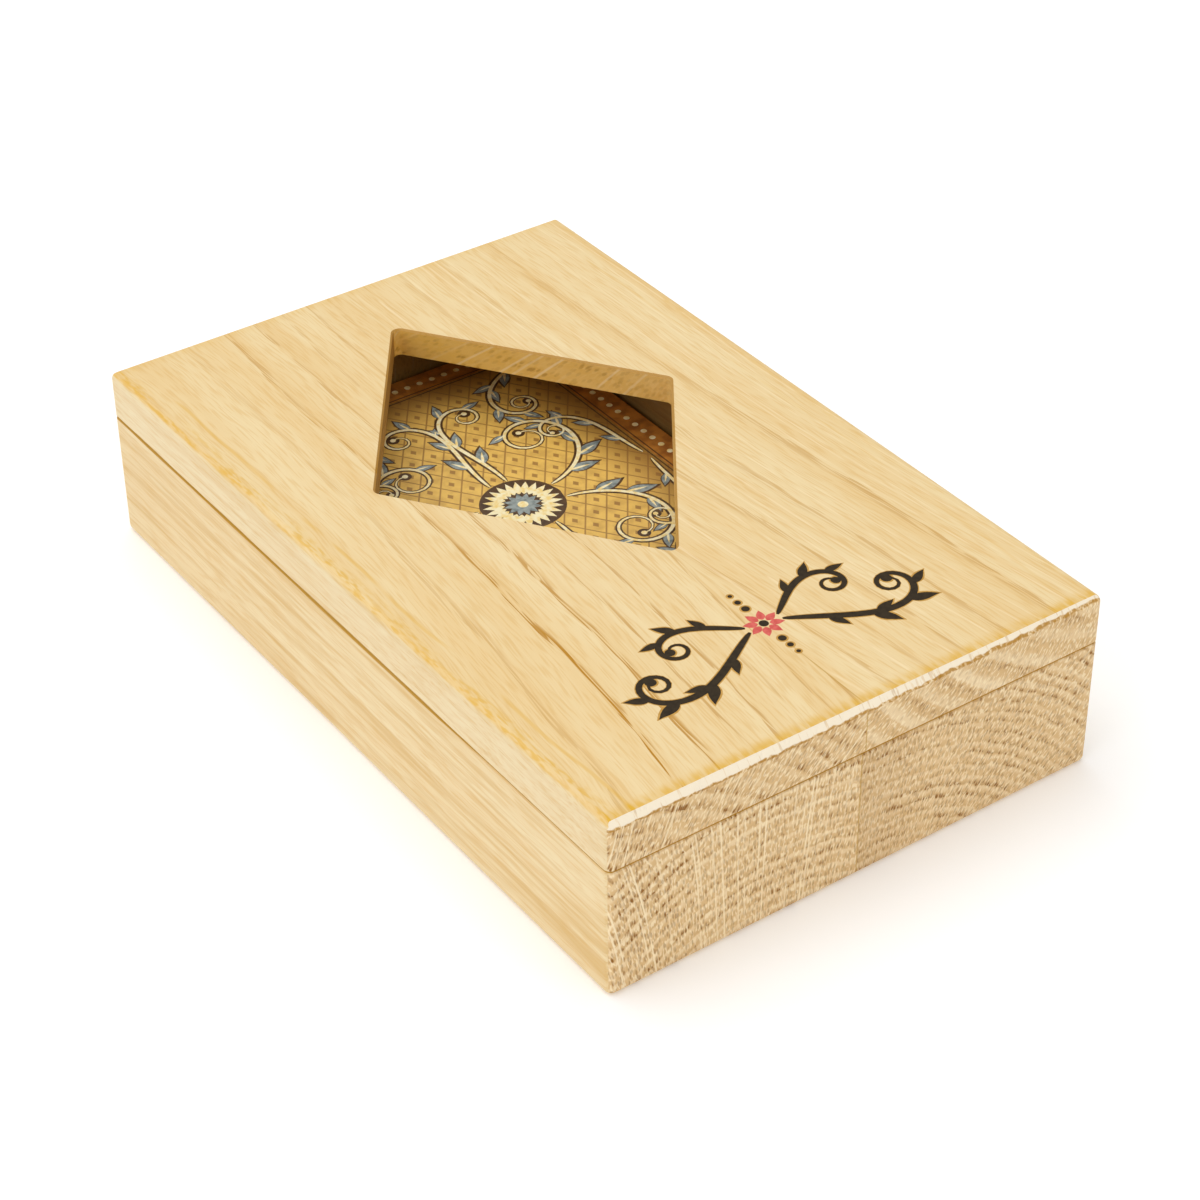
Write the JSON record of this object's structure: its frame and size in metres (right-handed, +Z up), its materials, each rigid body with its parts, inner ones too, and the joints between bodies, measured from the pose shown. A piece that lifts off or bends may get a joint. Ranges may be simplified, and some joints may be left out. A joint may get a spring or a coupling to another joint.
{
  "type": "playing card case",
  "caption": "Flat oak case for a deck of playing cards, with a lift-off lid held by magnets, a diamond window over the deck and a milled pocket.",
  "frame": {"origin": "middle of the underside of the base", "axes": "+Z up, +Y along the case towards the end nearer the window, +X across the case to the right"},
  "size_m": [0.09, 0.143, 0.0315],
  "materials": {
    "base_oak": "clear satin oil",
    "lid_oak": "clear satin oil",
    "magnet_plating": "nickel plated",
    "card_stock": "coated print"
  },
  "bodies": {
    "base": {"base_left_stave": "base_oak", "base_right_stave": "base_oak", "base_magnet_front_left": "magnet_plating", "base_magnet_front_right": "magnet_plating", "base_magnet_back_left": "magnet_plating", "base_magnet_back_right": "magnet_plating"},
    "lid": {"lid_left_stave": "lid_oak", "lid_right_stave": "lid_oak", "lid_magnet_front_left": "magnet_plating", "lid_magnet_front_right": "magnet_plating", "lid_magnet_back_left": "magnet_plating", "lid_magnet_back_right": "magnet_plating"},
    "deck": {"six_of_clubs": "card_stock", "seven_of_clubs": "card_stock", "eight_of_clubs": "card_stock", "nine_of_clubs": "card_stock", "ten_of_clubs": "card_stock", "jack_of_clubs": "card_stock", "queen_of_clubs": "card_stock", "king_of_clubs": "card_stock", "ace_of_clubs": "card_stock", "six_of_diamonds": "card_stock", "seven_of_diamonds": "card_stock", "eight_of_diamonds": "card_stock", "nine_of_diamonds": "card_stock", "ten_of_diamonds": "card_stock", "jack_of_diamonds": "card_stock", "queen_of_diamonds": "card_stock", "king_of_diamonds": "card_stock", "ace_of_diamonds": "card_stock", "six_of_hearts": "card_stock", "seven_of_hearts": "card_stock", "eight_of_hearts": "card_stock", "nine_of_hearts": "card_stock", "ten_of_hearts": "card_stock", "jack_of_hearts": "card_stock", "queen_of_hearts": "card_stock", "king_of_hearts": "card_stock", "ace_of_hearts": "card_stock", "six_of_spades": "card_stock", "seven_of_spades": "card_stock", "eight_of_spades": "card_stock", "nine_of_spades": "card_stock", "ten_of_spades": "card_stock", "jack_of_spades": "card_stock", "queen_of_spades": "card_stock", "king_of_spades": "card_stock", "ace_of_spades": "card_stock"}
  },
  "joints": [
    {"name": "lid_lift", "type": "slide", "parent": "base", "child": "lid", "axis": [0, 0, 1], "range_m": [0, 0.06]},
    {"name": "deck_lift", "type": "slide", "parent": "base", "child": "deck", "axis": [0, 0, 1], "range_m": [0, 0.0055]}
  ]
}
